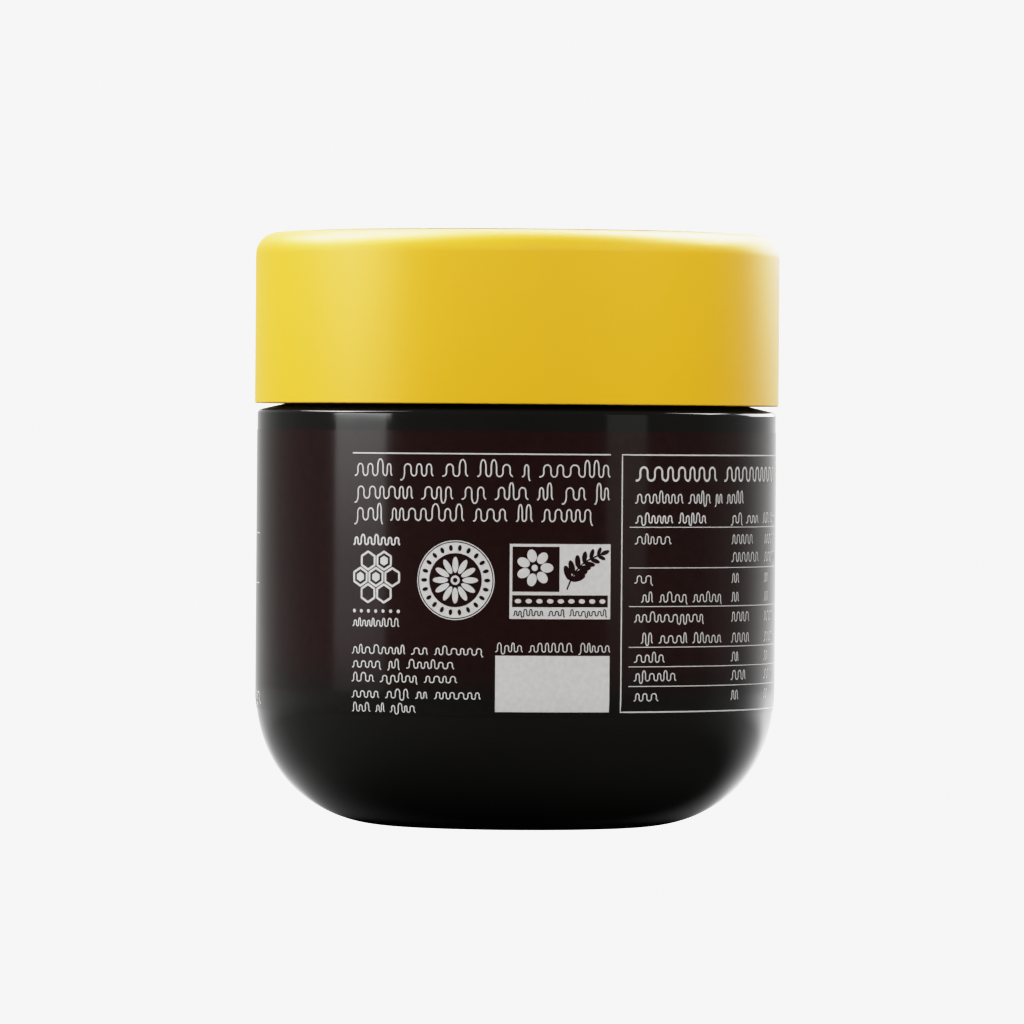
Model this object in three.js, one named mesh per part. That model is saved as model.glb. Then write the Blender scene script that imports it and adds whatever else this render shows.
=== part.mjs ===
// A shut honey jar: a squat dark glass pot with a broad rounded foot, a tall yellow cap,
// a dark label wrapped round the wall and a thin dark disc on top of the cap.
// Millimetres, +Z up. The origin is the middle of the base, and the printed side that
// a shopper turns to read faces -Y.

import * as THREE from 'three';
import { mergeGeometries } from 'three/addons/utils/BufferGeometryUtils.js';

const SEGMENTS = 96;                 // facets round every turned piece
const FACET_ANGLE = 2 * Math.PI / SEGMENTS;

const BODY_RADIUS = 34.65;
const FOOT_CORNER = 18.75;           // height and depth of the big rounded corner at the foot
const CORNER_POWER = 2.2;            // 2 is a true quarter circle, more is squarer
const CORNER_STEPS = 12;
const PUSH_UP_RADIUS = 12.8;         // hollow under the base, inside the ring it stands on
const PUSH_UP_HEIGHT = 1.1;
const PUSH_UP_STEPS = 4;

const SHOULDER_Z = 55.6;             // highest point of the rounded shoulder edge
const SHOULDER_FILLET = 0.9;
const SHOULDER_SLOPE = THREE.MathUtils.degToRad(11);
const FILLET_STEPS = 5;
const NECK_RADIUS = 30.4;
const NECK_TOP_Z = 76;               // sealing rim, pressed against the inside of the cap
const NECK_CHAMFER = 0.6;

const LID_RADIUS = 35;
const LID_BOTTOM_Z = 56.17;
const LID_TOP_Z = 79;
const LID_TOP_FILLET = 3;
const LID_TOP_STEPS = 9;
const LID_RIM_FILLET = 0.2;
const LID_RIM_STEPS = 3;
const LID_BORE_RADIUS = 31.2;        // inside of the skirt, clear of neck and shoulder

const LID_LABEL_RADIUS = 29.5;
const LID_LABEL_THICKNESS = 0.14;

const LABEL_BOTTOM_Z = 15.5;
const LABEL_TOP_Z = 52.67;
const LABEL_THICKNESS = 0.05;
const LABEL_GAP_FACETS = 1;          // bare glass between the label's two ends
const LABEL_FIRST_FACET = 34;        // counted round to the right from the printed side
const LABEL_STEPS_ON_CORNER = 3;     // the label's lower edge bends in with the foot

// A quarter turn of a rounded edge from angle a0 to a1 about (cr, cz), in (radius, height).
function arc(cr, cz, radius, a0, a1, steps) {
  return Array.from({ length: steps + 1 }, (_, i) => {
    const a = a0 + (a1 - a0) * i / steps;
    return new THREE.Vector2(cr + radius * Math.cos(a), cz + radius * Math.sin(a));
  });
}

// Radius of the glass at a height on the rounded corner of the foot: a quarter superellipse.
function cornerRadius(z) {
  const drop = Math.max(0, 1 - z / FOOT_CORNER);
  const reach = (1 - drop ** CORNER_POWER) ** (1 / CORNER_POWER);
  return BODY_RADIUS - FOOT_CORNER + FOOT_CORNER * reach;
}

// Heights at which the label and the glass under it share their corners.
function labelHeights() {
  const lower = Array.from({ length: LABEL_STEPS_ON_CORNER + 1 }, (_, i) =>
    LABEL_BOTTOM_Z + (FOOT_CORNER - LABEL_BOTTOM_Z) * i / LABEL_STEPS_ON_CORNER);
  return [...lower, LABEL_TOP_Z];
}

// A full turn of a profile, given from the bottom of the axis round the outside to its top.
function turned(profile) {
  return new THREE.LatheGeometry(profile, SEGMENTS).rotateX(Math.PI / 2);
}

// Glass pot, filled and shut, so it is solid: base with its hollow, foot corner, wall,
// shoulder edge, shoulder and the neck inside the cap.
function jarGeometry() {
  const pushUp = Array.from({ length: PUSH_UP_STEPS + 1 }, (_, i) => {
    const share = i / PUSH_UP_STEPS;
    return new THREE.Vector2(PUSH_UP_RADIUS * share, PUSH_UP_HEIGHT * (1 - share ** 2));
  });
  const foot = Array.from({ length: CORNER_STEPS }, (_, i) => {
    const turn = Math.PI / 2 * i / CORNER_STEPS;
    return FOOT_CORNER * (1 - Math.cos(turn) ** (2 / CORNER_POWER));
  }).filter((z) => z < LABEL_BOTTOM_Z - 0.5);
  const wall = [...foot, ...labelHeights()].map((z) => new THREE.Vector2(cornerRadius(z), z));
  const edge = arc(BODY_RADIUS - SHOULDER_FILLET, SHOULDER_Z - SHOULDER_FILLET, SHOULDER_FILLET,
    0, Math.PI / 2 - SHOULDER_SLOPE, FILLET_STEPS);
  const edgeEnd = edge[edge.length - 1];
  const neckFootZ = edgeEnd.y + (edgeEnd.x - NECK_RADIUS) * Math.tan(SHOULDER_SLOPE);
  const neck = [
    new THREE.Vector2(NECK_RADIUS, neckFootZ),
    new THREE.Vector2(NECK_RADIUS, NECK_TOP_Z - NECK_CHAMFER),
    new THREE.Vector2(NECK_RADIUS - NECK_CHAMFER, NECK_TOP_Z),
    new THREE.Vector2(0, NECK_TOP_Z),
  ];
  return turned([...pushUp, ...wall, ...edge, ...neck]);
}

// Moulded cap: a flat top, a soft upper edge and a straight skirt that covers the neck.
function lidGeometry() {
  const rim = arc(LID_RADIUS - LID_RIM_FILLET, LID_BOTTOM_Z + LID_RIM_FILLET, LID_RIM_FILLET,
    -Math.PI / 2, 0, LID_RIM_STEPS);
  const top = arc(LID_RADIUS - LID_TOP_FILLET, LID_TOP_Z - LID_TOP_FILLET, LID_TOP_FILLET,
    0, Math.PI / 2, LID_TOP_STEPS);
  return turned([
    new THREE.Vector2(0, NECK_TOP_Z),
    new THREE.Vector2(LID_BORE_RADIUS, NECK_TOP_Z),
    new THREE.Vector2(LID_BORE_RADIUS, LID_BOTTOM_Z),
    ...rim,
    ...top,
    new THREE.Vector2(0, LID_TOP_Z),
  ]);
}

// Round paper disc stuck on the flat top of the cap.
function lidLabelGeometry() {
  return turned([
    new THREE.Vector2(0, LID_TOP_Z),
    new THREE.Vector2(LID_LABEL_RADIUS, LID_TOP_Z),
    new THREE.Vector2(LID_LABEL_RADIUS, LID_TOP_Z + LID_LABEL_THICKNESS),
    new THREE.Vector2(0, LID_TOP_Z + LID_LABEL_THICKNESS),
  ]);
}

// One cut end of the label: its thin section, stood up at an angle round the jar.
function labelEnd(section, angle, flip) {
  const end = new THREE.ShapeGeometry(new THREE.Shape(section)).rotateY(angle - Math.PI / 2);
  if (flip) {
    const index = end.getIndex().array;
    for (let i = 0; i < index.length; i += 3) {
      [index[i], index[i + 1]] = [index[i + 1], index[i]];
    }
  }
  return end;
}

// Wrapped label: a thin skin on the glass that stops short of meeting itself.
function labelGeometry() {
  const heights = labelHeights();
  const inner = heights.map((z) => new THREE.Vector2(cornerRadius(z), z));
  const outer = inner.map((p) => new THREE.Vector2(p.x + LABEL_THICKNESS, p.y));
  const section = [...outer, ...inner.reverse()];
  const start = LABEL_FIRST_FACET * FACET_ANGLE;
  const facets = SEGMENTS - LABEL_GAP_FACETS;
  const reach = facets * FACET_ANGLE;
  const skin = new THREE.LatheGeometry([...section, section[0]], facets, start, reach);
  const ends = [labelEnd(section, start, false), labelEnd(section, start + reach, true)];
  return mergeGeometries([skin, ...ends]).rotateX(Math.PI / 2);
}

function piece(name, geometry, color, roughness) {
  const mesh = new THREE.Mesh(
    geometry,
    new THREE.MeshStandardMaterial({ color, roughness, metalness: 0 }),
  );
  mesh.name = name;
  return mesh;
}

const honeyJar = new THREE.Group();
honeyJar.add(piece('jar', jarGeometry(), 0x11100e, 0.08));
honeyJar.add(piece('label', labelGeometry(), 0x22120f, 0.12));
honeyJar.add(piece('lid', lidGeometry(), 0xe2b31f, 0.38));
honeyJar.add(piece('lid_label', lidLabelGeometry(), 0x1a1413, 0.5));

export default honeyJar;
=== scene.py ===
import math

import bpy
import numpy as np
from mathutils import Matrix, Vector


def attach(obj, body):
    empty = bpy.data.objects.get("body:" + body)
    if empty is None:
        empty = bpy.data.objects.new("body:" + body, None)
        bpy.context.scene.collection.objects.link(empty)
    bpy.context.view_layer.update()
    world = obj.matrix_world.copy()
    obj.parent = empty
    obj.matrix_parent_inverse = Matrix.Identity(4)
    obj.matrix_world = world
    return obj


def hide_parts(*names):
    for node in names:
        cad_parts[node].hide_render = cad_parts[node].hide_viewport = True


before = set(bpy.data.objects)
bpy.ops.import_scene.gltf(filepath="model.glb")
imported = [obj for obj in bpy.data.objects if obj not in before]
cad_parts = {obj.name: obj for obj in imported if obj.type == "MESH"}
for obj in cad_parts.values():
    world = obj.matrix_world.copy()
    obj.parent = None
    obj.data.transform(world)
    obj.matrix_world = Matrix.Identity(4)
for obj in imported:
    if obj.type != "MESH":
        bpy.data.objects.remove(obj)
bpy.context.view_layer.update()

# The glass pot: pressed black glass, one piece from the ring it stands on to the neck
# inside the cap. Its foot turns into the wall through one broad soft corner, and the
# wall ends in a small rounded edge with a shoulder that slopes up under the cap.
MM = 0.001
FULL_TURN = 2 * math.pi
ROUND = 384
SHARP_ANGLE = math.radians(35)
BODY_RADIUS = 34.65 * MM
FOOT_CORNER = 18.75 * MM
CORNER_POWER = 2.2
FOOT_POINTS = 60
PUSH_UP_RADIUS = 12.8 * MM
PUSH_UP_HEIGHT = 1.1 * MM
PUSH_UP_POINTS = 14
WALL_TOP_Z = 54.76 * MM
WALL_POINTS = 20
SHOULDER_FILLET = 0.7 * MM
FILLET_END = math.radians(79)
FILLET_STEPS = 16
NECK_FOOT_Z = 56.27 * MM
NECK_RADIUS = 30.4 * MM
NECK_TOP_Z = 76.0 * MM
NECK_CHAMFER = 0.6 * MM
GLASS_BLACK = (0.0062, 0.0060, 0.0054, 1)
NOISE_LOW, NOISE_HIGH = 0.3, 0.7
HAZE_START = 0.35


def put_mesh(name, points, faces):
    """A mesh object at the origin from an array of points and a list of faces, smooth
    but for edges that turn by more than SHARP_ANGLE."""
    mesh = bpy.data.meshes.new(name)
    mesh.from_pydata(points.tolist(), [], [list(f) for f in faces])
    mesh.polygons.foreach_set("use_smooth", np.ones(len(mesh.polygons), bool))
    mesh.set_sharp_from_angle(angle=SHARP_ANGLE)
    mesh.update()
    piece = bpy.data.objects.new(name, mesh)
    bpy.context.scene.collection.objects.link(piece)
    return piece


def arc(cr, cz, radius, a0, a1, steps):
    """Points (r, z) on a circle about (cr, cz) from angle a0 to angle a1."""
    a = np.linspace(a0, a1, steps + 1)
    return np.column_stack([cr + radius * np.cos(a), cz + radius * np.sin(a)])


def turned(profile, angles):
    """Surface of revolution: point (r, z) of the profile at angle a lies at
    (r sin a, -r cos a, z), so angle 0 faces the shopper and a grows to the right."""
    r, z = profile[:, 0], profile[:, 1]
    x = np.outer(np.sin(angles), r)
    y = -np.outer(np.cos(angles), r)
    return np.stack([x, y, np.broadcast_to(z, x.shape)], axis=-1)


def turned_piece(name, profile):
    """A full turn, in ROUND steps, of a profile that starts and ends on the axis: a grid
    of quads, with a fan of triangles to one pole point at each end."""
    rings = turned(profile[1:-1], np.arange(ROUND) * FULL_TURN / ROUND)
    count = rings.shape[1]
    i = np.repeat(np.arange(ROUND), count - 1)
    j = np.tile(np.arange(count - 1), ROUND)
    nxt = (i + 1) % ROUND
    quads = np.column_stack([i * count + j, nxt * count + j,
                             nxt * count + j + 1, i * count + j + 1])
    poles = np.array([[0, 0, profile[0, 1]], [0, 0, profile[-1, 1]]])
    low, high = ROUND * count, ROUND * count + 1
    k = np.arange(ROUND)
    k1 = (k + 1) % ROUND
    low_fan = np.column_stack([np.full(ROUND, low), k1 * count, k * count])
    high_fan = np.column_stack([np.full(ROUND, high), k * count + count - 1,
                                k1 * count + count - 1])
    points = np.vstack([rings.reshape(-1, 3), poles])
    return put_mesh(name, points, quads.tolist() + low_fan.tolist() + high_fan.tolist())


def pot_radius(z):
    """Outside radius of the glass at height z: straight wall, and below it a quarter
    superellipse of power CORNER_POWER that reaches the base ring at z = 0."""
    drop = np.clip(1 - np.asarray(z, float) / FOOT_CORNER, 0, 1)
    reach = (1 - drop ** CORNER_POWER) ** (1 / CORNER_POWER)
    return BODY_RADIUS - FOOT_CORNER + FOOT_CORNER * reach


def pot_profile():
    """(r, z) from the hollow under the base, over the ring, up the foot corner and wall,
    round the shoulder's small edge and up the neck to the axis."""
    share = np.linspace(0, 1, PUSH_UP_POINTS)
    push_up = np.column_stack([PUSH_UP_RADIUS * share, PUSH_UP_HEIGHT * (1 - share ** 2)])
    turn = np.linspace(0, math.pi / 2, FOOT_POINTS)
    foot_z = FOOT_CORNER * (1 - np.cos(turn) ** (2 / CORNER_POWER))
    straight_z = np.linspace(FOOT_CORNER, WALL_TOP_Z, WALL_POINTS)
    wall_z = np.concatenate([foot_z, straight_z[1:]])
    wall = np.column_stack([pot_radius(wall_z), wall_z])
    edge = arc(BODY_RADIUS - SHOULDER_FILLET, WALL_TOP_Z, SHOULDER_FILLET, 0, FILLET_END,
               FILLET_STEPS)
    neck = np.array([[NECK_RADIUS, NECK_FOOT_Z], [NECK_RADIUS, NECK_TOP_Z - NECK_CHAMFER],
                     [NECK_RADIUS - NECK_CHAMFER, NECK_TOP_Z], [0, NECK_TOP_Z]])
    return np.vstack([push_up, wall, edge[1:], neck])


def new_material(name, roughness=0.5, ior=1.5):
    """A new material, its node tree and its Principled shader."""
    material = bpy.data.materials.new(name)
    material.use_nodes = True
    tree = material.node_tree
    shader = tree.nodes["Principled BSDF"]
    shader.inputs["Roughness"].default_value = roughness
    shader.inputs["IOR"].default_value = ior
    return material, tree, shader


def node(tree, kind, inputs=(), **fields):
    """One node of a tree. inputs maps a socket's name or number to a value or to another
    node's output, and fields are the node's own settings."""
    made = tree.nodes.new(kind)
    for key, value in fields.items():
        setattr(made, key, value)
    for key, value in dict(inputs).items():
        if isinstance(value, bpy.types.NodeSocket):
            tree.links.new(value, made.inputs[key])
        else:
            made.inputs[key].default_value = value
    return made


def object_noise(tree, waves, detail):
    """Noise on Object coordinates, in waves a metre."""
    where = node(tree, "ShaderNodeTexCoord").outputs["Object"]
    return node(tree, "ShaderNodeTexNoise",
                {"Vector": where, "Scale": waves, "Detail": detail}).outputs["Fac"]


def noise_between(tree, waves, detail, low, high, start=NOISE_LOW):
    """Noise stretched in a straight line: low at start, and high at NOISE_HIGH."""
    return node(tree, "ShaderNodeMapRange",
                {"Value": object_noise(tree, waves, detail), "From Min": start,
                 "From Max": NOISE_HIGH, "To Min": low, "To Max": high}).outputs[0]


def add_bumps(tree, shader, waves, detail, strength, depth):
    """Relief in the shading alone: noise as height, depth in metres, times strength."""
    bump = node(tree, "ShaderNodeBump",
                {"Height": object_noise(tree, waves, detail), "Strength": strength,
                 "Distance": depth})
    tree.links.new(bump.outputs[0], shader.inputs["Normal"])


def black_glass():
    """Nearly black gloss glass: faint waves from the mould, and a skin that gets a touch
    duller and grainier here and there from handling."""
    material, tree, shader = new_material("black_glass")
    shader.inputs["Base Color"].default_value = GLASS_BLACK
    haze = noise_between(tree, waves=60, detail=4, low=0.07, high=0.13, start=HAZE_START)
    tree.links.new(haze, shader.inputs["Roughness"])
    add_bumps(tree, shader, waves=45, detail=1, strength=0.05, depth=0.4 * MM)
    return material


pot = turned_piece("glass_pot", pot_profile())
pot.data.materials.append(black_glass())
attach(pot, "root")
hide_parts("jar")

# The label: a thin dark brown plastic film, printed and then wrapped round the straight
# wall by machine. It stops just short of meeting itself, which leaves a narrow strip of
# bare glass, and its lower edge bends in a little with the foot.
LABEL_BOTTOM_Z = 15.5 * MM
LABEL_TOP_Z = 52.67 * MM
LABEL_THICKNESS = 0.05 * MM
LABEL_RADIUS = BODY_RADIUS + LABEL_THICKNESS
LABEL_GAP = math.radians(3.75)
LABEL_END = math.radians(123.75)
LABEL_START = LABEL_END + LABEL_GAP - FULL_TURN
BENT_POINTS = 10
UPRIGHT_POINTS = 14
FILM_BLACK = (0.0055, 0.0052, 0.0046)
FILM_BROWN = (0.0125, 0.0046, 0.0042)
FADE_END_Z = 25 * MM


def film_strip():
    """A closed thin section (outside going up, inside going down) turned from the
    label's first end to its last, with a flat face on each end."""
    upright_z = np.linspace(FOOT_CORNER, LABEL_TOP_Z, UPRIGHT_POINTS)
    z = np.concatenate([np.linspace(LABEL_BOTTOM_Z, FOOT_CORNER, BENT_POINTS), upright_z[1:]])
    glass = pot_radius(z)
    outside = np.column_stack([glass + LABEL_THICKNESS, z])
    inside = np.column_stack([glass, z])[::-1]
    section = np.vstack([outside, inside])
    points = turned(section, np.linspace(LABEL_START, LABEL_END, ROUND))
    steps, count = points.shape[:2]
    i = np.repeat(np.arange(steps - 1), count)
    j = np.tile(np.arange(count), steps - 1)
    up = (j + 1) % count
    quads = np.column_stack([i * count + j, (i + 1) * count + j,
                             (i + 1) * count + up, i * count + up])
    ring = np.arange(count)
    ends = [ring.tolist(), (ring[::-1] + (steps - 1) * count).tolist()]
    return points.reshape(-1, 3), quads.tolist() + ends


def mottle(tree, shader, color, waves, detail, low, high):
    """Base colour = color, a value or an output, times a noise between low and high."""
    shade = node(tree, "ShaderNodeVectorMath",
                 {0: color, "Scale": noise_between(tree, waves, detail, low, high)},
                 operation="SCALE")
    tree.links.new(shade.outputs[0], shader.inputs["Base Color"])


def brown_film():
    """Dark red-brown ink under a gloss film, whose colour fades to plain black along an
    S-curve of height towards the label's lower edge, with a fine mottle."""
    material, tree, shader = new_material("brown_film", roughness=0.13)
    where = node(tree, "ShaderNodeTexCoord").outputs["Object"]
    height = node(tree, "ShaderNodeSeparateXYZ", {0: where}).outputs["Z"]
    fade = node(tree, "ShaderNodeMapRange",
                {"Value": height, "From Min": LABEL_BOTTOM_Z, "From Max": FADE_END_Z},
                interpolation_type="SMOOTHSTEP").outputs[0]
    tone = node(tree, "ShaderNodeMix", {0: fade, 6: (*FILM_BLACK, 1), 7: (*FILM_BROWN, 1)},
                data_type="RGBA").outputs[2]
    mottle(tree, shader, tone, waves=900, detail=3, low=0.85, high=1.15)
    add_bumps(tree, shader, waves=120, detail=2, strength=0.04, depth=0.3 * MM)
    return material


label = put_mesh("label_film", *film_strip())
label.data.materials.append(brown_film())
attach(label, "root")
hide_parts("label")

# The print on the label: off-white ink laid on the dark film before it is wrapped. Each
# mark is a thin closed skin of ink that follows the wall. A line of small print is a row
# of running loops, one stroke for each word, and nothing on it can be read.
INK_PROUD = 0.020 * MM
OVER_PRINT = 0.034 * MM
TOP_PRINT = 0.048 * MM
INK_SUNK = -0.012 * MM
LINE_STEP = 1.2 * MM
PANEL_STEP = 0.8 * MM
FIELD_RINGS = 3
RULE = 0.18 * MM
SWING = 1.62
LOOPS_PER_LETTER = 0.8
LOOP_POINTS = 18
LOOP_WIDTHS = (0.7, 1.3)
TALL_SHARE, TALL_REACH = 0.28, 1.8
DEEP_SHARE, DEEP_REACH = 0.1, 1.7
WORD_GAP = 0.85
draw = np.random.default_rng(21)


def on_label(s, z, lift):
    """Point of the label's face at arc length s to the right of the front, height z and
    lift outwards: at angle s / LABEL_RADIUS, on the circle of the film's radius there."""
    angle = s / LABEL_RADIUS
    r = pot_radius(z) + LABEL_THICKNESS + lift
    return np.stack([r * np.sin(angle), -r * np.cos(angle), z], axis=-1)


def ribbon(path, width, lift=INK_PROUD, closed=False, place=on_label):
    """A flat closed strip along a path (s, z): two edges half a width to each side of it,
    each with a point above the film and one just under its face."""
    path = np.asarray(path, float)
    if closed:
        along = np.roll(path, -1, axis=0) - np.roll(path, 1, axis=0)
    else:
        along = np.gradient(path, axis=0)
    along /= np.linalg.norm(along, axis=1, keepdims=True)
    left = path + width / 2 * np.column_stack([-along[:, 1], along[:, 0]])
    right = 2 * path - left
    edges = ((right, lift), (left, lift), (left, INK_SUNK), (right, INK_SUNK))
    points = np.stack([place(side[:, 0], side[:, 1], up) for side, up in edges], axis=1)
    count = len(path)
    i = np.repeat(np.arange(count if closed else count - 1), 4)
    j = np.tile(np.arange(4), len(i) // 4)
    step = (i + 1) % count
    faces = np.column_stack([i * 4 + j, step * 4 + j,
                             step * 4 + (j + 1) % 4, i * 4 + (j + 1) % 4]).tolist()
    if not closed:
        faces += [[0, 1, 2, 3], [count * 4 - 1 - k for k in range(4)]]
    return points.reshape(-1, 3), faces


def straight(s0, z0, s1, z1):
    """Points along a straight line, close enough together to follow the wall."""
    steps = int(math.hypot(s1 - s0, z1 - z0) / LINE_STEP) + 3
    return np.column_stack([np.linspace(s0, s1, steps), np.linspace(z0, z1, steps)])


def along_sides(corner_points, steps=6):
    """Points round a polygon: the same number along each side, evenly spaced."""
    here = np.asarray(corner_points, float)
    ahead = np.roll(here, -1, axis=0)
    share = np.arange(steps)[None, :, None] / steps
    return (here[:, None] * (1 - share) + ahead[:, None] * share).reshape(-1, 2)


def skin(upper, lower, quads, rim):
    """Two like sheets of points, faces of the upper one, and its rim in order: the sheets
    and a band of quads round the rim close up to one solid."""
    half = len(upper)
    nxt = np.roll(rim, -1)
    band = np.column_stack([rim, rim + half, nxt + half, nxt]).tolist()
    faces = quads + [[v + half for v in f[::-1]] for f in quads] + band
    return np.vstack([upper, lower]), faces


def field(outline, lift=INK_PROUD, place=on_label):
    """A filled shape: its outline (s, z), counter-clockwise, shrunk in even steps towards
    its middle, above the film and again under its face."""
    outline = np.asarray(outline, float)
    middle = (outline.min(0) + outline.max(0)) / 2
    count = len(outline)
    share = np.linspace(1, 0, FIELD_RINGS + 1)[:-1, None, None]
    flat = np.vstack([(middle + (outline - middle) * share).reshape(-1, 2), middle])
    j = np.arange(count)
    nxt = (j + 1) % count
    ring = np.arange(FIELD_RINGS - 1)[:, None] * count
    quads = np.stack([ring + j, ring + nxt, ring + count + nxt, ring + count + j],
                     axis=-1).reshape(-1, 4)
    inner = (FIELD_RINGS - 1) * count
    fan = np.column_stack([inner + j, inner + nxt, np.full(count, len(flat) - 1)])
    return skin(place(flat[:, 0], flat[:, 1], lift), place(flat[:, 0], flat[:, 1], INK_SUNK),
                quads.tolist() + fan.tolist(), j)


def panel(s0, z0, s1, z1, lift=INK_PROUD):
    """A filled rectangle: a grid fine enough to follow the wall, above the film and again
    under its face."""
    s = np.linspace(s0, s1, int((s1 - s0) / PANEL_STEP) + 2)
    z = np.linspace(z0, z1, int((z1 - z0) / PANEL_STEP) + 2)
    flat_s, flat_z = (g.ravel() for g in np.meshgrid(s, z, indexing="ij"))
    index = np.arange(flat_s.size).reshape(s.size, z.size)
    quads = np.stack([index[:-1, :-1], index[1:, :-1], index[1:, 1:], index[:-1, 1:]],
                     axis=-1).reshape(-1, 4)
    rim = np.concatenate([index[:-1, 0], index[-1, :-1], index[:0:-1, -1], index[0, :0:-1]])
    return skin(on_label(flat_s, flat_z, lift), on_label(flat_s, flat_z, INK_SUNK),
                quads.tolist(), rim)


def word(s, base, letters, pitch, height, stroke, varied, lift):
    """One running stroke: a river curve, whose direction is SWING times a sine of the way
    along it, with LOOPS_PER_LETTER loops a letter, each stretched by a width of its own.
    A varied word's loops here and there reach up or down further."""
    loops = max(1, round(letters * LOOPS_PER_LETTER))
    way = np.linspace(0, loops, loops * LOOP_POINTS + 1)
    turn = SWING * np.sin(FULL_TURN * way)
    width = draw.uniform(*LOOP_WIDTHS, loops + 1)[way.astype(int)]
    x = np.concatenate([[0], np.cumsum(np.cos(turn) * width)[:-1]])
    y = np.concatenate([[0], np.cumsum(np.sin(turn))[:-1]])
    x *= (letters * pitch - stroke) / x[-1]
    y = (y - y.min()) / (y.max() - y.min())
    if varied:
        up = np.where(draw.random(loops + 1) < TALL_SHARE, TALL_REACH, 1.0)
        down = np.where(draw.random(loops + 1) < DEEP_SHARE, DEEP_REACH, 1.0)
        reach = np.where(y > 0.5, up[way.astype(int)], down[np.round(way).astype(int)])
        y = 0.5 + (y - 0.5) * reach
    path = np.column_stack([s + stroke / 2 + x, base + stroke / 2 + y * (height - stroke)])
    return ribbon(path, stroke, lift)


def text_line(s0, s1, base, words, height, stroke, varied=True, lift=INK_PROUD):
    """A row of words, given by their numbers of letters, spread from s0 to s1 with a gap
    of WORD_GAP letters between them. All measures are in millimetres, lift in metres."""
    pitch = (s1 - s0) / (sum(words) + WORD_GAP * (len(words) - 1))
    made = []
    for letters in words:
        made.append(word(s0 * MM, base * MM, letters, pitch * MM, height * MM,
                         stroke * MM, varied, lift))
        s0 += (letters + WORD_GAP) * pitch
    return made


def print_piece(name, parts, material):
    """One mesh from many parts, in one ink."""
    starts = np.cumsum([0] + [len(points) for points, _ in parts])
    points = np.vstack([points for points, _ in parts])
    faces = [[v + start for v in face] for (_, part), start in zip(parts, starts)
             for face in part]
    piece = put_mesh(name, points, faces)
    piece.data.materials.append(material)
    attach(piece, "root")
    return piece


def ink(name, color):
    """Printed ink under the film's gloss, a little uneven in density."""
    material, tree, shader = new_material(name, roughness=0.16)
    mottle(tree, shader, color, waves=1500, detail=3, low=0.93, high=1.04)
    return material


white_ink = ink("white_ink", (0.56, 0.552, 0.54))
dark_ink = ink("dark_ink", FILM_BROWN)
yellow_ink = ink("yellow_ink", (0.66, 0.37, 0.012))

# The story on the left of the panel, in white ink: a rule, three lines in large print
# under it, and five lines of small print at the foot. A line is given by the height it
# stands on, its right end and the letters in each of its words.
STORY_LEFT, STORY_RIGHT = -23.05, 12.55
STORY_TOP = 49.68
LARGE_LEFT = -22.8
LARGE_PRINT = {"height": 1.72, "stroke": 0.185}
LARGE_LINES = ((46.66, 12.57, (5, 4, 3, 4, 1, 8)), (43.69, 12.5, (8, 4, 3, 4, 2, 3, 2)),
               (40.86, 10.2, (4, 9, 4, 2, 6)))
SMALL_PRINT = {"height": 0.96, "stroke": 0.155}
SMALL_LINES = ((23.44, -4.1, (10, 3, 8)), (21.61, -7.9, (5, 2, 7)), (19.78, -7.5, (4, 6, 5)),
               (17.69, -4.4, (5, 4, 2, 7)), (15.86, -13.2, (4, 2, 5)))
story = [ribbon(straight(STORY_LEFT * MM, STORY_TOP * MM, STORY_RIGHT * MM, STORY_TOP * MM),
                RULE)]
for base, end, words in LARGE_LINES:
    story += text_line(LARGE_LEFT, end, base, words, **LARGE_PRINT)
for base, end, words in SMALL_LINES:
    story += text_line(STORY_LEFT, end, base, words, **SMALL_PRINT)
print_piece("story_print", story, white_ink)

# Three emblems in a row, in white ink and plain country motifs: a cluster of honeycomb
# over a row of dots, a daisy inside a beaded ring, and a frame with a blossom, a sprig
# and dots. What is dark on white is printed over it, and white on dark over that again.
COMB_MIDDLE = (-19.2 * MM, 33.5 * MM)
COMB_CELL = 1.42 * MM
COMB_LINE = 0.3 * MM
HOLLOW_CELL, FILLED_CELL = COMB_CELL * 0.83, COMB_CELL * 0.46
CLUSTER = ((0, 0), (1, 0), (-1, 0), (0.5, 1), (-0.5, 1), (0.5, -1), (-0.5, -1))
FILLED_CELLS = ((0, 0), (0.5, 1), (-1, 0))
CAPTION_LEFT = -22.96
DOT_ROW = np.linspace(-22.6, -15.8, 7) * MM
DOT_ROW_Z = 29.05 * MM
DOT_RADIUS = 0.24 * MM
DOT_POINTS = 16
DAISY_MIDDLE = (-7.93 * MM, 33.22 * MM)
DAISY_RINGS = ((5.12 * MM, 0.14 * MM), (4.22 * MM, 1.4 * MM))
DAISY_EYE, BLOSSOM_EYE = 0.46 * MM, 0.42 * MM
EYE_LINE = 0.3 * MM
RING_POINTS = 144
EYE_POINTS = 24
PETAL_POINTS = 18
FRAME_LEFT, FRAME_RIGHT = -0.78 * MM, 12.62 * MM
FRAME_LOW, FRAME_HIGH = 28.25 * MM, 38.02 * MM
FRAME_EDGE = 0.36 * MM
BLOCK_LOW = FRAME_LOW + 3.55 * MM
BLOCK_RIGHT = FRAME_LEFT + 6.5 * MM
BLOSSOM_MIDDLE = ((FRAME_LEFT + BLOCK_RIGHT) / 2, (BLOCK_LOW + FRAME_HIGH) / 2)
BAND_LOW, BAND_MIDDLE, BAND_HIGH = (FRAME_LOW + rise * MM for rise in (1.55, 2.32, 3.1))
BAND_DOTS = np.linspace(FRAME_LEFT + 1.1 * MM, FRAME_RIGHT - 1.1 * MM, 9)
SPRIG_FOOT = (BLOCK_RIGHT + 1.0 * MM, BLOCK_LOW + 0.3 * MM)
SPRIG_TIP = (FRAME_RIGHT - 1.3 * MM, FRAME_HIGH - 1.3 * MM)
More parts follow.
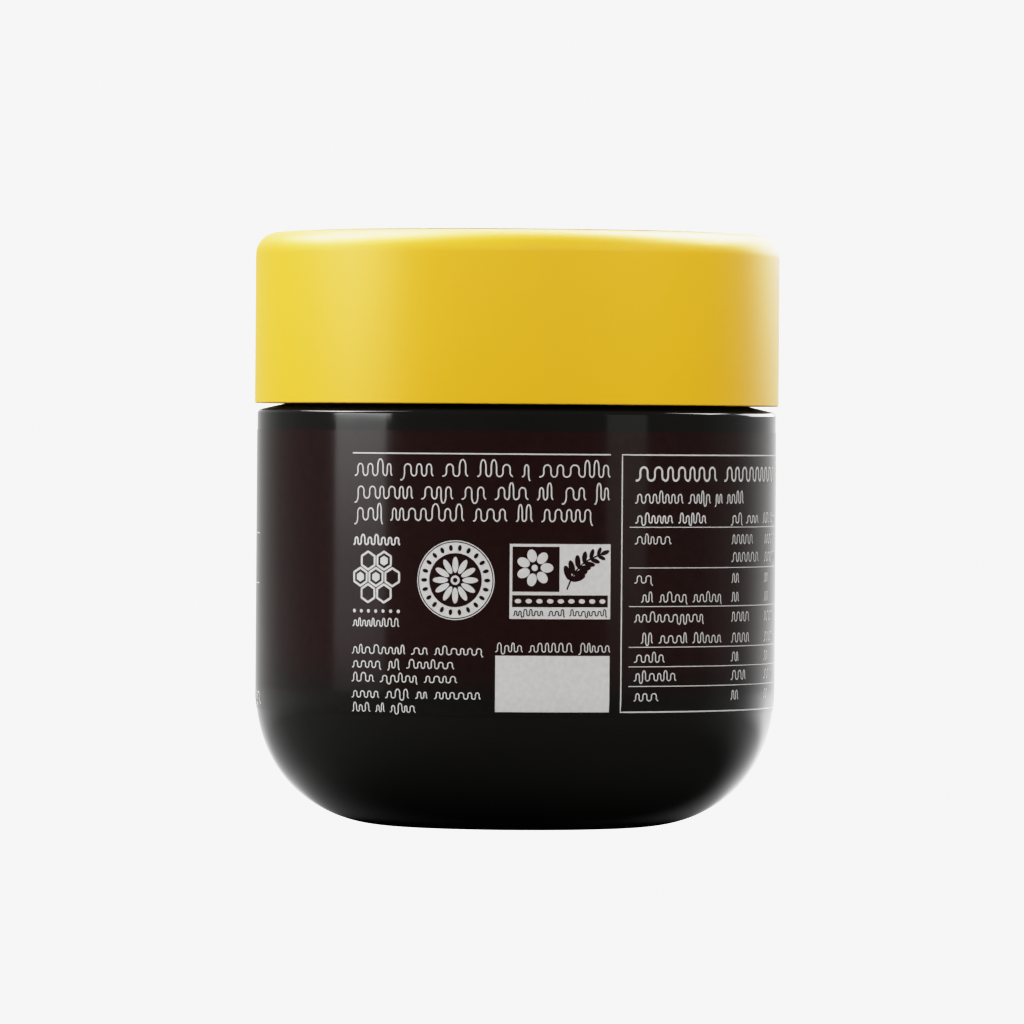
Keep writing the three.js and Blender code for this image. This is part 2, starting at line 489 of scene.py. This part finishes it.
SPRIG_BEND = 0.14
SPRIG_POINTS = 40
FIRST_LEAF, LAST_LEAF = 7, 36
LEAF_PAIRS = 6
LEAF_LENGTH = 2.0 * MM
FOOT_SHARE, SHARE_LOST = 1.15, 0.6
LEAF_START = 0.05 * MM
LEAF_SLIMNESS = 0.21
LEAF_LEAN = 0.8
END_LEAF_START = -0.1 * MM
END_LEAF_LENGTH = LEAF_LENGTH * 0.6
END_LEAF_HALF_WIDTH = LEAF_LENGTH * 0.14
TWIG_WIDTH = 0.2 * MM


def circle(middle, radius, steps, start=0.0):
    """Points at even angles round a circle, the first at angle start."""
    a = start + np.arange(steps) * FULL_TURN / steps
    return np.asarray(middle) + radius * np.column_stack([np.cos(a), np.sin(a)])


def hexagon(middle, radius):
    """A regular hexagon with a corner at the top."""
    return along_sides(circle(middle, radius, 6, math.pi / 2))


def comb(middle, cell, places):
    """Middles of honeycomb cells, from places given in cells across and rows up."""
    return np.asarray(middle) + np.asarray(places, float) * [math.sqrt(3) * cell, 1.5 * cell]


def petal(middle, angle, start, end, half_width):
    """An oval that reaches from one radius to another along an angle."""
    t = np.arange(PETAL_POINTS) * FULL_TURN / PETAL_POINTS
    along = (start + end) / 2 + (end - start) / 2 * np.cos(t)
    across = half_width * np.sin(t)
    c, s = math.cos(angle), math.sin(angle)
    return np.asarray(middle) + np.column_stack([along * c - across * s,
                                                 along * s + across * c])


def daisy(middle, petals, start, end, half_width, lift=INK_PROUD):
    """Ovals at even angles round a middle."""
    return [field(petal(middle, turn, start, end, half_width), lift)
            for turn in np.arange(petals) * FULL_TURN / petals]


def sprig(foot, tip, lift):
    """A twig from foot to tip, bowed sideways as one arch of a sine, with pairs of oval
    leaves that shorten evenly towards the tip, where a single one ends it."""
    share = np.linspace(0, 1, SPRIG_POINTS)
    foot, tip = np.asarray(foot), np.asarray(tip)
    run = tip - foot
    side = np.array([-run[1], run[0]])
    path = foot + np.outer(share, run) + np.outer(SPRIG_BEND * np.sin(math.pi * share), side)
    made = [ribbon(path, TWIG_WIDTH, lift)]
    rise = np.arctan2(*np.gradient(path, axis=0).T[::-1])
    for k in np.linspace(FIRST_LEAF, LAST_LEAF, LEAF_PAIRS).astype(int):
        length = LEAF_LENGTH * (FOOT_SHARE - SHARE_LOST * share[k])
        for lean in (LEAF_LEAN, -LEAF_LEAN):
            made.append(field(petal(path[k], rise[k] + lean, LEAF_START, length,
                                    length * LEAF_SLIMNESS), lift))
    made.append(field(petal(tip, rise[-1], END_LEAF_START, END_LEAF_LENGTH,
                            END_LEAF_HALF_WIDTH), lift))
    return made


emblems = text_line(CAPTION_LEFT, -15.51, 37.62, (9,), height=1.15, stroke=0.235)
emblems += text_line(CAPTION_LEFT, -15.6, 27.0, (11,), height=0.9, stroke=0.165)
for cell in comb(COMB_MIDDLE, COMB_CELL, CLUSTER):
    emblems.append(ribbon(hexagon(cell, HOLLOW_CELL), COMB_LINE, closed=True))
for cell in comb(COMB_MIDDLE, COMB_CELL, FILLED_CELLS):
    emblems.append(field(hexagon(cell, FILLED_CELL)))
for dot in DOT_ROW:
    emblems.append(field(circle((dot, DOT_ROW_Z), DOT_RADIUS, DOT_POINTS)))
for radius, width in DAISY_RINGS:
    emblems.append(ribbon(circle(DAISY_MIDDLE, radius, RING_POINTS), width, closed=True))
emblems += daisy(DAISY_MIDDLE, petals=12, start=0.95 * MM, end=3.05 * MM,
                 half_width=0.4 * MM)
emblems.append(ribbon(circle(DAISY_MIDDLE, DAISY_EYE, EYE_POINTS), EYE_LINE, closed=True))
emblems.append(panel(FRAME_LEFT, FRAME_LOW, FRAME_RIGHT, FRAME_HIGH))
print_piece("emblem_print", emblems, white_ink)

over_print = daisy(DAISY_MIDDLE, petals=22, start=3.83 * MM, end=4.62 * MM,
                   half_width=0.24 * MM, lift=OVER_PRINT)
over_print.append(panel(FRAME_LEFT + FRAME_EDGE, BLOCK_LOW, BLOCK_RIGHT,
                        FRAME_HIGH - FRAME_EDGE, OVER_PRINT))
over_print.append(panel(FRAME_LEFT + FRAME_EDGE, BAND_LOW, FRAME_RIGHT - FRAME_EDGE,
                        BAND_HIGH, OVER_PRINT))
over_print += sprig(SPRIG_FOOT, SPRIG_TIP, OVER_PRINT)
over_print += text_line(-0.35, 12.2, 28.62, (7, 4, 9), height=0.72, stroke=0.14,
                        lift=OVER_PRINT)
print_piece("emblem_dark_print", over_print, dark_ink)

top_print = daisy(BLOSSOM_MIDDLE, petals=7, start=0.75 * MM, end=2.45 * MM,
                  half_width=0.62 * MM, lift=TOP_PRINT)
top_print.append(field(circle(BLOSSOM_MIDDLE, BLOSSOM_EYE, EYE_POINTS), TOP_PRINT))
for dot in BAND_DOTS:
    top_print.append(field(petal((dot, BAND_MIDDLE), 0, start=-0.42 * MM, end=0.42 * MM,
                                 half_width=0.3 * MM), TOP_PRINT))
print_piece("emblem_top_print", top_print, white_ink)

# The panel for the filling date: a heading in small print over a white field that the
# filler stamps, here still bare.
DATE_LEFT, DATE_RIGHT = -2.57 * MM, 12.58 * MM
DATE_LOW, DATE_HIGH = 16.12 * MM, 23.47 * MM
date_panel = text_line(-2.66, 12.72, 23.9, (5, 8, 6), height=0.95, stroke=0.135)
date_panel.append(panel(DATE_LEFT, DATE_LOW, DATE_RIGHT, DATE_HIGH))
print_piece("date_print", date_panel, white_ink)

# The framed table on the right, in white ink: title, a line of bold print, a heading row,
# and ruled rows that each hold a name and two figures, all as running loops. A row is
# given by the height it stands on, its left end, its name's words and its figures.
TABLE_LEFT, TABLE_RIGHT = 14.2 * MM, 53.5 * MM
TABLE_LOW, TABLE_HIGH = 16.12 * MM, STORY_TOP * MM
TABLE_CORNERS = ((TABLE_LEFT, TABLE_LOW), (TABLE_RIGHT, TABLE_LOW),
                 (TABLE_RIGHT, TABLE_HIGH), (TABLE_LEFT, TABLE_HIGH))
TITLE_LEFT = 16.0
THIN_RULE = 0.11 * MM
THIN_LEFT, THIN_RIGHT = 15.3 * MM, 52.4 * MM
HEADINGS = ((16.03, 27.9, (7, 6)), (33.0, 40.9, (3, 4)), (42.5, 50.0, (3, 4)))
TABLE_RULES = (40.25, 34.94, 29.9, 24.59, 22.04, 19.48)
TABLE_ROWS = ((38.0, 16.0, (6,), (6, 6)), (35.65, 16.0, (), (8, 7)), (32.9, 16.0, (3,), (2, 2)),
              (30.42, 17.0, (2, 5, 6), (2, 2)), (27.82, 16.0, (12,), (5, 5)),
              (25.06, 17.0, (2, 5, 6), (5, 5)), (22.56, 16.0, (5,), (2, 2)),
              (20.13, 16.0, (7,), (4, 5)), (17.52, 16.0, (4,), (2, 2)))
NAME_PITCH = 0.96
FIGURE_PITCH = 0.98
FIGURE_COLUMNS = (33.2, 43.3)
table = [ribbon(along_sides(TABLE_CORNERS, 32), RULE, closed=True)]
table += text_line(TITLE_LEFT, 48.5, 46.2, (9, 11), height=2.0, stroke=0.27, varied=False)
table += text_line(TITLE_LEFT, 36.2, 43.32, (9, 5, 2, 5), height=1.3, stroke=0.175)
for left, right, words in HEADINGS:
    table += text_line(left, right, 40.72, words, height=1.1, stroke=0.19)
for height in TABLE_RULES:
    table.append(ribbon(straight(THIN_LEFT, height * MM, THIN_RIGHT, height * MM), THIN_RULE))
for base, left, words, figures in TABLE_ROWS:
    if words:
        letters = sum(words) + WORD_GAP * (len(words) - 1)
        table += text_line(left, left + NAME_PITCH * letters, base, words, height=1.08,
                           stroke=0.15)
    for column, letters in zip(FIGURE_COLUMNS, figures):
        table += text_line(column, column + FIGURE_PITCH * letters, base, (letters,),
                           height=1.3, stroke=0.15, varied=False)
print_piece("table_print", table, white_ink)

# The show side, which the photograph reaches only at the ends of two rules and of a line
# of print: a band of comb in yellow ink, a name line between the rules, and lines of
# print in white.
SHOW_LEFT, SHOW_RIGHT = -113.3 * MM, -47.75 * MM
SHOW_RULES = (38.92, 32.27)
SHOW_TEXT_LEFT = -113.0
SHOW_LINES = ((28.3, -71.0, (6, 8, 3, 7)), (25.4, -76.5, (4, 7, 9)), (22.5, -73.5, (9, 2, 5, 6)))
BAND_START = (-110.6 * MM, 42.4 * MM)
BAND_CELL = 1.72 * MM
HOLLOW_BAND_CELL, FILLED_BAND_CELL = BAND_CELL * 0.85, BAND_CELL * 0.56
BAND_COLUMNS, BAND_ROWS = 16, 3
BAND_PLACES = [(i + 0.5 * (j % 2), j) for i in range(BAND_COLUMNS) for j in range(BAND_ROWS)]
SHOW_COMB_MIDDLE = (-61.2 * MM, 25.6 * MM)
SHOW_COMB_CELL = 1.9 * MM
FILLED_SHOW_CELL = 1.62 * MM
show = []
for height in SHOW_RULES:
    show.append(ribbon(straight(SHOW_LEFT, height * MM, SHOW_RIGHT, height * MM), RULE))
show += text_line(SHOW_TEXT_LEFT, -57.5, 34.0, (6, 9), height=3.2, stroke=0.6, varied=False)
show += text_line(SHOW_TEXT_LEFT, -46.7, 16.0, (7, 5, 8, 4, 9), height=1.9, stroke=0.28,
                  varied=False)
for base, end, words in SHOW_LINES:
    show += text_line(SHOW_TEXT_LEFT, end, base, words, height=1.5, stroke=0.22)
print_piece("show_print", show, white_ink)

gold = []
for number, cell in enumerate(comb(BAND_START, BAND_CELL, BAND_PLACES)):
    gold.append(ribbon(hexagon(cell, HOLLOW_BAND_CELL), COMB_LINE, closed=True))
    two_in_seven = number * 5 % 7 in (0, 3)
    if two_in_seven:
        gold.append(field(hexagon(cell, FILLED_BAND_CELL)))
for cell in comb(SHOW_COMB_MIDDLE, SHOW_COMB_CELL, CLUSTER):
    gold.append(field(hexagon(cell, FILLED_SHOW_CELL)))
print_piece("show_gold_print", gold, yellow_ink)

# A till panel round the side, in the label's own inks: a white field with a row of plain
# upright dark bars, whose widths and gaps follow a seeded draw.
BARS_LEFT, BARS_RIGHT = 57.5 * MM, 72.0 * MM
BARS_LOW, BARS_HIGH = 19.5 * MM, 31.5 * MM
BAR_WIDTHS = (0.17, 0.33, 0.5)
FIRST_BAR = BARS_LEFT + 1.3 * MM
LAST_BAR = BARS_RIGHT - 1.7 * MM
BAR_MARGIN = 1.2 * MM
print_piece("bar_field", [panel(BARS_LEFT, BARS_LOW, BARS_RIGHT, BARS_HIGH)], white_ink)
bars = []
bar_left = FIRST_BAR
while bar_left < LAST_BAR:
    bar = draw.choice(BAR_WIDTHS) * MM
    middle = bar_left + bar / 2
    bars.append(ribbon(straight(middle, BARS_LOW + BAR_MARGIN, middle, BARS_HIGH - BAR_MARGIN),
                       bar, OVER_PRINT))
    bar_left += bar + draw.choice(BAR_WIDTHS) * MM
print_piece("bar_print", bars, dark_ink)

# The cap: moulded in one piece from solid yellow plastic with a satin skin. It has a flat
# top, a soft upper edge, a straight skirt and a small round at the lower rim.
LID_RADIUS = 35.0 * MM
LID_BOTTOM_Z = 56.17 * MM
LID_TOP_Z = 79.0 * MM
LID_TOP_FILLET = 3.0 * MM
LID_TOP_STEPS = 24
LID_RIM_FILLET = 0.2 * MM
LID_RIM_STEPS = 8
LID_BORE_RADIUS = 31.2 * MM
CAP_YELLOW = (0.81, 0.452, 0.006)


def lid_profile():
    """(r, z) from the inside of the top, down the bore, round the rim, up the skirt and
    over the upper edge to the axis."""
    rim = arc(LID_RADIUS - LID_RIM_FILLET, LID_BOTTOM_Z + LID_RIM_FILLET,
              LID_RIM_FILLET, -math.pi / 2, 0, LID_RIM_STEPS)
    top = arc(LID_RADIUS - LID_TOP_FILLET, LID_TOP_Z - LID_TOP_FILLET,
              LID_TOP_FILLET, 0, math.pi / 2, LID_TOP_STEPS)
    inside = np.array([[0, NECK_TOP_Z], [LID_BORE_RADIUS, NECK_TOP_Z],
                       [LID_BORE_RADIUS, LID_BOTTOM_Z]])
    return np.vstack([inside, rim, top, [[0, LID_TOP_Z]]])


def yellow_plastic():
    """Warm yellow moulded plastic with a satin, faintly grained skin."""
    material, tree, shader = new_material("yellow_plastic", roughness=0.41)
    mottle(tree, shader, CAP_YELLOW, waves=25, detail=2, low=0.985, high=1.015)
    add_bumps(tree, shader, waves=5000, detail=2, strength=0.08, depth=0.02 * MM)
    return material


lid = turned_piece("cap", lid_profile())
lid.data.materials.append(yellow_plastic())
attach(lid, "root")
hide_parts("lid")

# The disc on the cap: thin dark film with a satin face, die-cut round and stuck on the
# flat top.
DISC_RADIUS = 29.5 * MM
DISC_THICKNESS = 0.134 * MM
DISC_TOP_Z = LID_TOP_Z + DISC_THICKNESS
DISC_BLACK = (0.012, 0.006, 0.005)


def dark_film():
    """Nearly black satin film with a fine printed mottle."""
    material, tree, shader = new_material("dark_film", roughness=0.5, ior=1.38)
    mottle(tree, shader, DISC_BLACK, waves=900, detail=3, low=0.8, high=1.2)
    return material


disc = turned_piece("cap_disc", np.array([
    [0, LID_TOP_Z], [DISC_RADIUS, LID_TOP_Z], [DISC_RADIUS, DISC_TOP_Z], [0, DISC_TOP_Z]]))
disc.data.materials.append(dark_film())
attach(disc, "root")
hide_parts("lid_label")

# The disc's print, in yellow ink and out of sight in the photograph: a plain comb inside
# two rings, with the middle cell and the six round it filled.
RINGS = ((27.2 * MM, 0.5 * MM), (26.2 * MM, 0.2 * MM))
DISC_RING_POINTS = 180
DISC_CELL = 3.6 * MM
HOLLOW_DISC_CELL, FILLED_DISC_CELL = DISC_CELL * 0.86, DISC_CELL * 0.62
DISC_LINE = 0.4 * MM
DISC_ROWS = 3
DISC_INK = 0.006 * MM


def on_disc(u, v, lift):
    """Point on the disc's face, u to the right and v to the back. Any lift above the
    face is cut to the ink's own thickness."""
    return np.stack([u, v, np.full_like(u, DISC_TOP_Z + min(lift, DISC_INK))], axis=-1)


disc_print = [ribbon(circle((0, 0), radius, DISC_RING_POINTS), width, closed=True,
                     place=on_disc) for radius, width in RINGS]
for row in range(-DISC_ROWS, DISC_ROWS + 1):
    side = DISC_ROWS - abs(row) / 2
    across = np.arange(-side, side + 1)
    for column, cell in zip(across, comb((0, 0), DISC_CELL, [(x, row) for x in across])):
        disc_print.append(ribbon(hexagon(cell, HOLLOW_DISC_CELL), DISC_LINE, closed=True,
                                 place=on_disc))
        cells_out = abs(row) + max(0, abs(column) - abs(row) / 2)
        if cells_out <= 1:
            disc_print.append(field(hexagon(cell, FILLED_DISC_CELL), place=on_disc))
print_piece("disc_print", disc_print, yellow_ink)

# Grip marks under the jar, hidden as it stands: short ribs moulded in a ring on the
# hollow of the glass base, of the same glass.
GRIP_RIBS = 48
GRIP_INNER = 10.2 * MM
GRIP_OUTER = 11.8 * MM
GRIP_WIDTH = 0.4 * MM
GRIP_PROUD = 0.12 * MM


def on_base(u, v, lift):
    """Point on the hollow under the base, seen from below: its height falls with the
    square of the radius, and the lift is downwards."""
    drop = PUSH_UP_HEIGHT * (u ** 2 + v ** 2) / PUSH_UP_RADIUS ** 2
    return np.stack([-u, v, PUSH_UP_HEIGHT - drop - lift], axis=-1)


grip_turns = np.linspace(0, FULL_TURN, GRIP_RIBS, endpoint=False)
grip_marks = [ribbon(straight(GRIP_INNER * math.cos(turn), GRIP_INNER * math.sin(turn),
                              GRIP_OUTER * math.cos(turn), GRIP_OUTER * math.sin(turn)),
                     GRIP_WIDTH, GRIP_PROUD, place=on_base) for turn in grip_turns]
print_piece("grip_marks", grip_marks, pot.data.materials[0])

# Plain pale floor, the same tone as the room behind it, a hair below the foot. In
# reflections there is nothing of it but painted shade: black close round the jar's foot,
# where its contact shadow falls, clearing further out.
BACKDROP_TONE = 1.86
BACKDROP_COLOR = (BACKDROP_TONE,) * 3 + (1,)
PAINTED_SHADE_START = 20.8 * MM
PAINTED_SHADE_END = 38 * MM
FLOOR_HALF = 40.0
FLOOR_Z = -0.02 * MM


def pale_floor():
    """Even glow for the eye; for a reflection, painted shade: black inside the first
    radius, in place of the contact shadow round the foot, and clear outside the second."""
    material, tree, _ = new_material("pale_floor")
    glow = node(tree, "ShaderNodeEmission", {"Color": BACKDROP_COLOR}).outputs[0]
    where = node(tree, "ShaderNodeTexCoord").outputs["Object"]
    radius = node(tree, "ShaderNodeVectorMath", {0: where}, operation="LENGTH")
    clear = node(tree, "ShaderNodeMapRange",
                 {"Value": radius.outputs["Value"], "From Min": PAINTED_SHADE_START,
                  "From Max": PAINTED_SHADE_END}, interpolation_type="SMOOTHSTEP").outputs[0]
    # Painted shade: black that reflections show round the foot in place of its contact shadow.
    black = node(tree, "ShaderNodeEmission", {"Strength": 0.0}).outputs[0]
    nothing = node(tree, "ShaderNodeBsdfTransparent").outputs[0]
    mirrored = node(tree, "ShaderNodeMixShader", {0: clear, 1: black, 2: nothing}).outputs[0]
    seen = node(tree, "ShaderNodeLightPath").outputs["Is Camera Ray"]
    both = node(tree, "ShaderNodeMixShader", {0: seen, 1: mirrored, 2: glow}).outputs[0]
    tree.links.new(both, tree.nodes["Material Output"].inputs["Surface"])
    return material


corners = np.array([[-1, -1, 0], [1, -1, 0], [1, 1, 0], [-1, 1, 0]]) * FLOOR_HALF
corners[:, 2] = FLOOR_Z
floor = put_mesh("floor", corners, [[0, 1, 2, 3]])
floor.data.materials.append(pale_floor())
floor.visible_diffuse = False
floor.visible_shadow = False

# Studio: pale walls behind and beside the jar that its gloss picks up at the edges, with
# the pale floor's glow below the horizon, and a dark room in front at eye level. Tones
# are given by degrees round from the camera's side, and heights as a direction's z.
WALLS = {-180: 1.00, -166: 0.72, -154: 0.50, -141: 0.30, -129: 0.17, -111: 0.11, -60: 0.05,
         0: 0.015, 60: 0.04, 90: 0.05, 114: 0.15, 129: 0.34, 144: 0.66, 157: 1.00, 180: 1.10}
FLOOR_GLOW = 1.27
GLOW_FULL_Z = -0.17
FADE_START_Z = -0.12
FADE_LAST_Z = -0.73
FADE_TILT = 0.33
FLOOR_HAZE = 0.02
HAZE_FULL_Z = -0.6
FLOOR_EDGE = {-180: 0.20, -150: 0.24, -120: 0.16, -98: 0.07, -60: 0, 90: 0, 115: 0.07,
              124: 0.20, 131: 0.56, 141: 1.08, 150: 1.26, 160: 0.61, 180: 0.30}
EDGE_RISE_Z = (-0.012, -0.045)
EDGE_DROP_Z = (-0.09, -0.19)


def studio_world():
    """Radiance for reflections = wall tone at the azimuth, times one curve over height
    that swells just below the horizon and dies out towards straight down, plus a
    narrow band below the horizon where the pale floor ends, with its own tones."""
    world = bpy.data.worlds.new("studio")
    bpy.context.scene.world = world
    world.use_nodes = True
    tree = world.node_tree
    tree.nodes.clear()
    axes = node(tree, "ShaderNodeSeparateXYZ",
                {0: node(tree, "ShaderNodeTexCoord").outputs["Generated"]}).outputs

    def math_node(kind, *values):
        """One sum or product of values and outputs."""
        return node(tree, "ShaderNodeMath", enumerate(values), operation=kind).outputs[0]

    def ramp(start, end, from_value, to_value):
        """An S-curve over the direction's z, from one value at start to another at end."""
        return node(tree, "ShaderNodeMapRange",
                    {"Value": axes["Z"], "From Min": start, "From Max": end,
                     "To Min": from_value, "To Max": to_value},
                    interpolation_type="SMOOTHSTEP").outputs[0]

    front = math_node("MULTIPLY", axes["Y"], -1.0)
    azimuth = math_node("ARCTAN2", axes["X"], front)
    turn = math_node("MULTIPLY_ADD", azimuth, 1 / FULL_TURN, 0.5)

    def tones_around(tones):
        """Tone at the azimuth: straight lines between the tones given by degrees."""
        shares = node(tree, "ShaderNodeValToRGB", {0: turn})
        stops = shares.color_ramp.elements
        highest = max(tones.values())
        for degrees, tone in tones.items():
            place = degrees / 360 + 0.5
            stop = stops[0] if place == 0 else stops[-1] if place == 1 else stops.new(place)
            stop.color = (tone / highest,) * 3 + (1,)
        return math_node("MULTIPLY", shares.outputs[0], highest)

    swell = ramp(0.0, GLOW_FULL_Z, 1.0, FLOOR_GLOW)
    lowest = math_node("ADD", math_node("MULTIPLY", axes["X"], FADE_TILT), FADE_LAST_Z)
    height = math_node("MULTIPLY", swell, ramp(lowest, FADE_START_Z, 0.0, 1.0))
    total = math_node("MULTIPLY", tones_around(WALLS), height)
    band = math_node("MULTIPLY", ramp(*EDGE_RISE_Z, 0.0, 1.0), ramp(*EDGE_DROP_Z, 1.0, 0.0))
    total = math_node("ADD", total, math_node("MULTIPLY", tones_around(FLOOR_EDGE), band))
    total = math_node("ADD", total, ramp(0.0, HAZE_FULL_Z, 0.0, FLOOR_HAZE))
    sky = node(tree, "ShaderNodeBackground",
               {"Strength": total, "Color": (1, 1, 1, 1)}).outputs[0]
    plain = node(tree, "ShaderNodeBackground",
                 {"Strength": 1.0, "Color": BACKDROP_COLOR}).outputs[0]
    seen = node(tree, "ShaderNodeLightPath").outputs["Is Camera Ray"]
    mix = node(tree, "ShaderNodeMixShader", {0: seen, 1: sky, 2: plain}).outputs[0]
    node(tree, "ShaderNodeOutputWorld", {"Surface": mix})


studio_world()

# Lamps: eight soft boxes that the gloss mirrors as strips and patches of light, and four
# broad ones, low round the jar, that only give even light. Turn and rise are in degrees,
# the distance from the cap's foot and both sides in metres.
GLOSS_BOXES = (
    # name, turn, rise, distance, width, height, radiance
    ("strip_left", -70.4, 5.1, 0.38, 0.18, 0.100, 1.6),
    ("strip_left_low", -70.4, -4.5, 0.38, 0.18, 0.028, 0.65),
    ("strip_left_top", -70, 7.2, 0.39, 0.21, 0.076, 5.4),
    ("strip_right", 49, 8, 0.9, 0.30, 0.34, 0.3),
    ("side_left", -113, 51, 1.0, 0.8, 0.7, 15),
    ("side_right", 130, 48, 1.0, 0.85, 0.58, 15),
    ("top_back", 180, 65, 1.0, 0.9, 1.1, 5),
    ("low_back_right", 146, 15, 1.0, 0.75, 0.42, 5.4),
)
FILL_SHARES = {-90: 1.5, -10: 0.5, 50: 0.8, 165: 0.85}
FILL_RISE = 22
FILL_DISTANCE = 1.4
FILL_WIDTH, FILL_HEIGHT = 1.2, 0.8


def softbox(name, turn, rise, distance, width, height, radiance, kind):
    """An area light at an angle round from the camera's side, aimed at the cap's foot.
    Its power is radiance times pi times its area. A gloss light is only mirrored and a
    fill light only spreads, so that neither upsets the other."""
    middle = Vector((0, 0, LID_BOTTOM_Z))
    a, e = math.radians(turn), math.radians(rise)
    direction = Vector((math.sin(a) * math.cos(e), -math.cos(a) * math.cos(e), math.sin(e)))
    data = bpy.data.lights.new(name, "AREA")
    data.shape = "RECTANGLE"
    data.size = width
    data.size_y = height
    data.energy = radiance * math.pi * width * height
    lamp = bpy.data.objects.new(name, data)
    lamp.location = middle + direction * distance
    lamp.rotation_euler = direction.to_track_quat("Z", "Y").to_euler()
    lamp.visible_glossy = kind == "gloss"
    lamp.visible_diffuse = kind == "fill"
    bpy.context.scene.collection.objects.link(lamp)


def fill_radiance(share):
    """Share times pi and the distance squared, over the box's area and the cosine of its
    rise, so that equal shares light the upright wall alike."""
    faced = FILL_WIDTH * FILL_HEIGHT * math.cos(math.radians(FILL_RISE))
    return share * math.pi * FILL_DISTANCE ** 2 / faced


for box in GLOSS_BOXES:
    softbox(*box, kind="gloss")
for turn, share in FILL_SHARES.items():
    softbox(f"fill_{turn}", turn, FILL_RISE, FILL_DISTANCE, FILL_WIDTH, FILL_HEIGHT,
            fill_radiance(share), kind="fill")

# The picture's tone curve: straight up to mid grey, then a soft shoulder that ends just
# short of full white, as on film.
CURVE_WHITE = 4.0
SHOULDER_START = 0.5
SHOULDER_SPAN = 0.44
CURVE_PLACES = (0.05, SHOULDER_START / CURVE_WHITE, 0.16, 0.2, 0.26, 0.34, 0.45, 0.65)
ALL_CHANNELS = 3


def film_curve():
    """Shown tone = light up to SHOULDER_START, and past it SHOULDER_START plus
    SHOULDER_SPAN times (1 - exp(-excess / SHOULDER_SPAN))."""
    view = bpy.context.scene.view_settings
    view.view_transform = "Standard"
    view.use_curve_mapping = True
    mapping = view.curve_mapping
    mapping.white_level = (CURVE_WHITE,) * 3
    curve = mapping.curves[ALL_CHANNELS]
    for share in CURVE_PLACES:
        light = share * CURVE_WHITE
        over = max(0.0, light - SHOULDER_START)
        shown = (min(light, SHOULDER_START)
                 + SHOULDER_SPAN * (1 - math.exp(-over / SHOULDER_SPAN)))
        curve.points.new(share, shown)
    curve.points[-1].location = (1, SHOULDER_START + SHOULDER_SPAN)
    mapping.update()


film_curve()

# Camera: long lens at the height of the jar's shoulder, a hair off level as in the
# photograph. EYE_PX is the picture's row at that height, AXIS_PX the column of the axis.
FRAME_PX = 1024
PX = 0.13369 * MM
CAMERA_DISTANCE = 1.253
EYE_Z = 52.42 * MM
EYE_PX = 433.0
AXIS_PX = 516.0
ROLL = math.radians(0.42)
SENSOR_MM = 36.0

camera_data = bpy.data.cameras.new("camera")
camera_data.sensor_width = SENSOR_MM
camera_data.lens = SENSOR_MM * CAMERA_DISTANCE / (FRAME_PX * PX)
camera_data.clip_start = 0.05
camera_data.clip_end = 200
camera = bpy.data.objects.new("camera", camera_data)
eye = Vector(((FRAME_PX / 2 - AXIS_PX) * PX, -CAMERA_DISTANCE, EYE_Z))
target = Vector((eye.x, 0, EYE_Z - (FRAME_PX / 2 - EYE_PX) * PX))
camera.matrix_world = (Matrix.Translation(eye)
                       @ (target - eye).to_track_quat("-Z", "Y").to_matrix().to_4x4()
                       @ Matrix.Rotation(ROLL, 4, "Z"))
bpy.context.scene.collection.objects.link(camera)
bpy.context.scene.camera = camera
